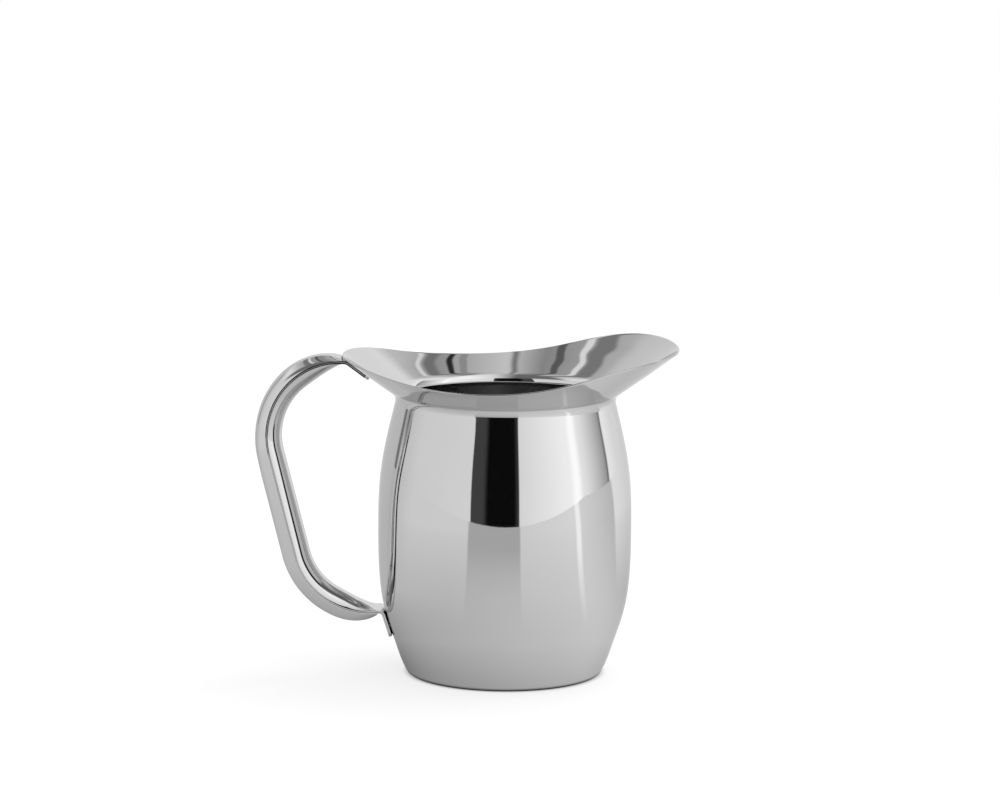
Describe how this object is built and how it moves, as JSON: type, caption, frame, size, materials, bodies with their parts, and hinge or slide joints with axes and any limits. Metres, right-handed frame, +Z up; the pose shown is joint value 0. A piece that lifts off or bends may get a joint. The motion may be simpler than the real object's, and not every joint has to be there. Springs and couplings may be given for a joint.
{
  "type": "water pitcher",
  "caption": "Polished steel bell-shaped water pitcher with a barrel body, a flared saddle lip drawn to a broad pouring spout, and a hollow loop handle.",
  "frame": {"origin": "centre of the standing ring, on the table plane", "axes": "+X towards the pouring spout (the handle is at -X), +Y across the pitcher, +Z up along the body axis"},
  "size_m": [0.2254, 0.1498, 0.1752],
  "materials": {
    "vessel_steel": "mirror-polished stainless sheet",
    "handle_steel": "mirror-polished stainless sheet",
    "weld_steel": "dressed weld metal"
  },
  "bodies": {
    "root": {"body_shell": "vessel_steel", "base_disc": "vessel_steel", "base_seam_weld": "weld_steel", "handle_outer_shell": "handle_steel", "handle_inner_shell": "handle_steel", "handle_seam_welds": "weld_steel", "upper_tab_welds": "weld_steel", "lower_tab_welds": "weld_steel"}
  },
  "joints": []
}
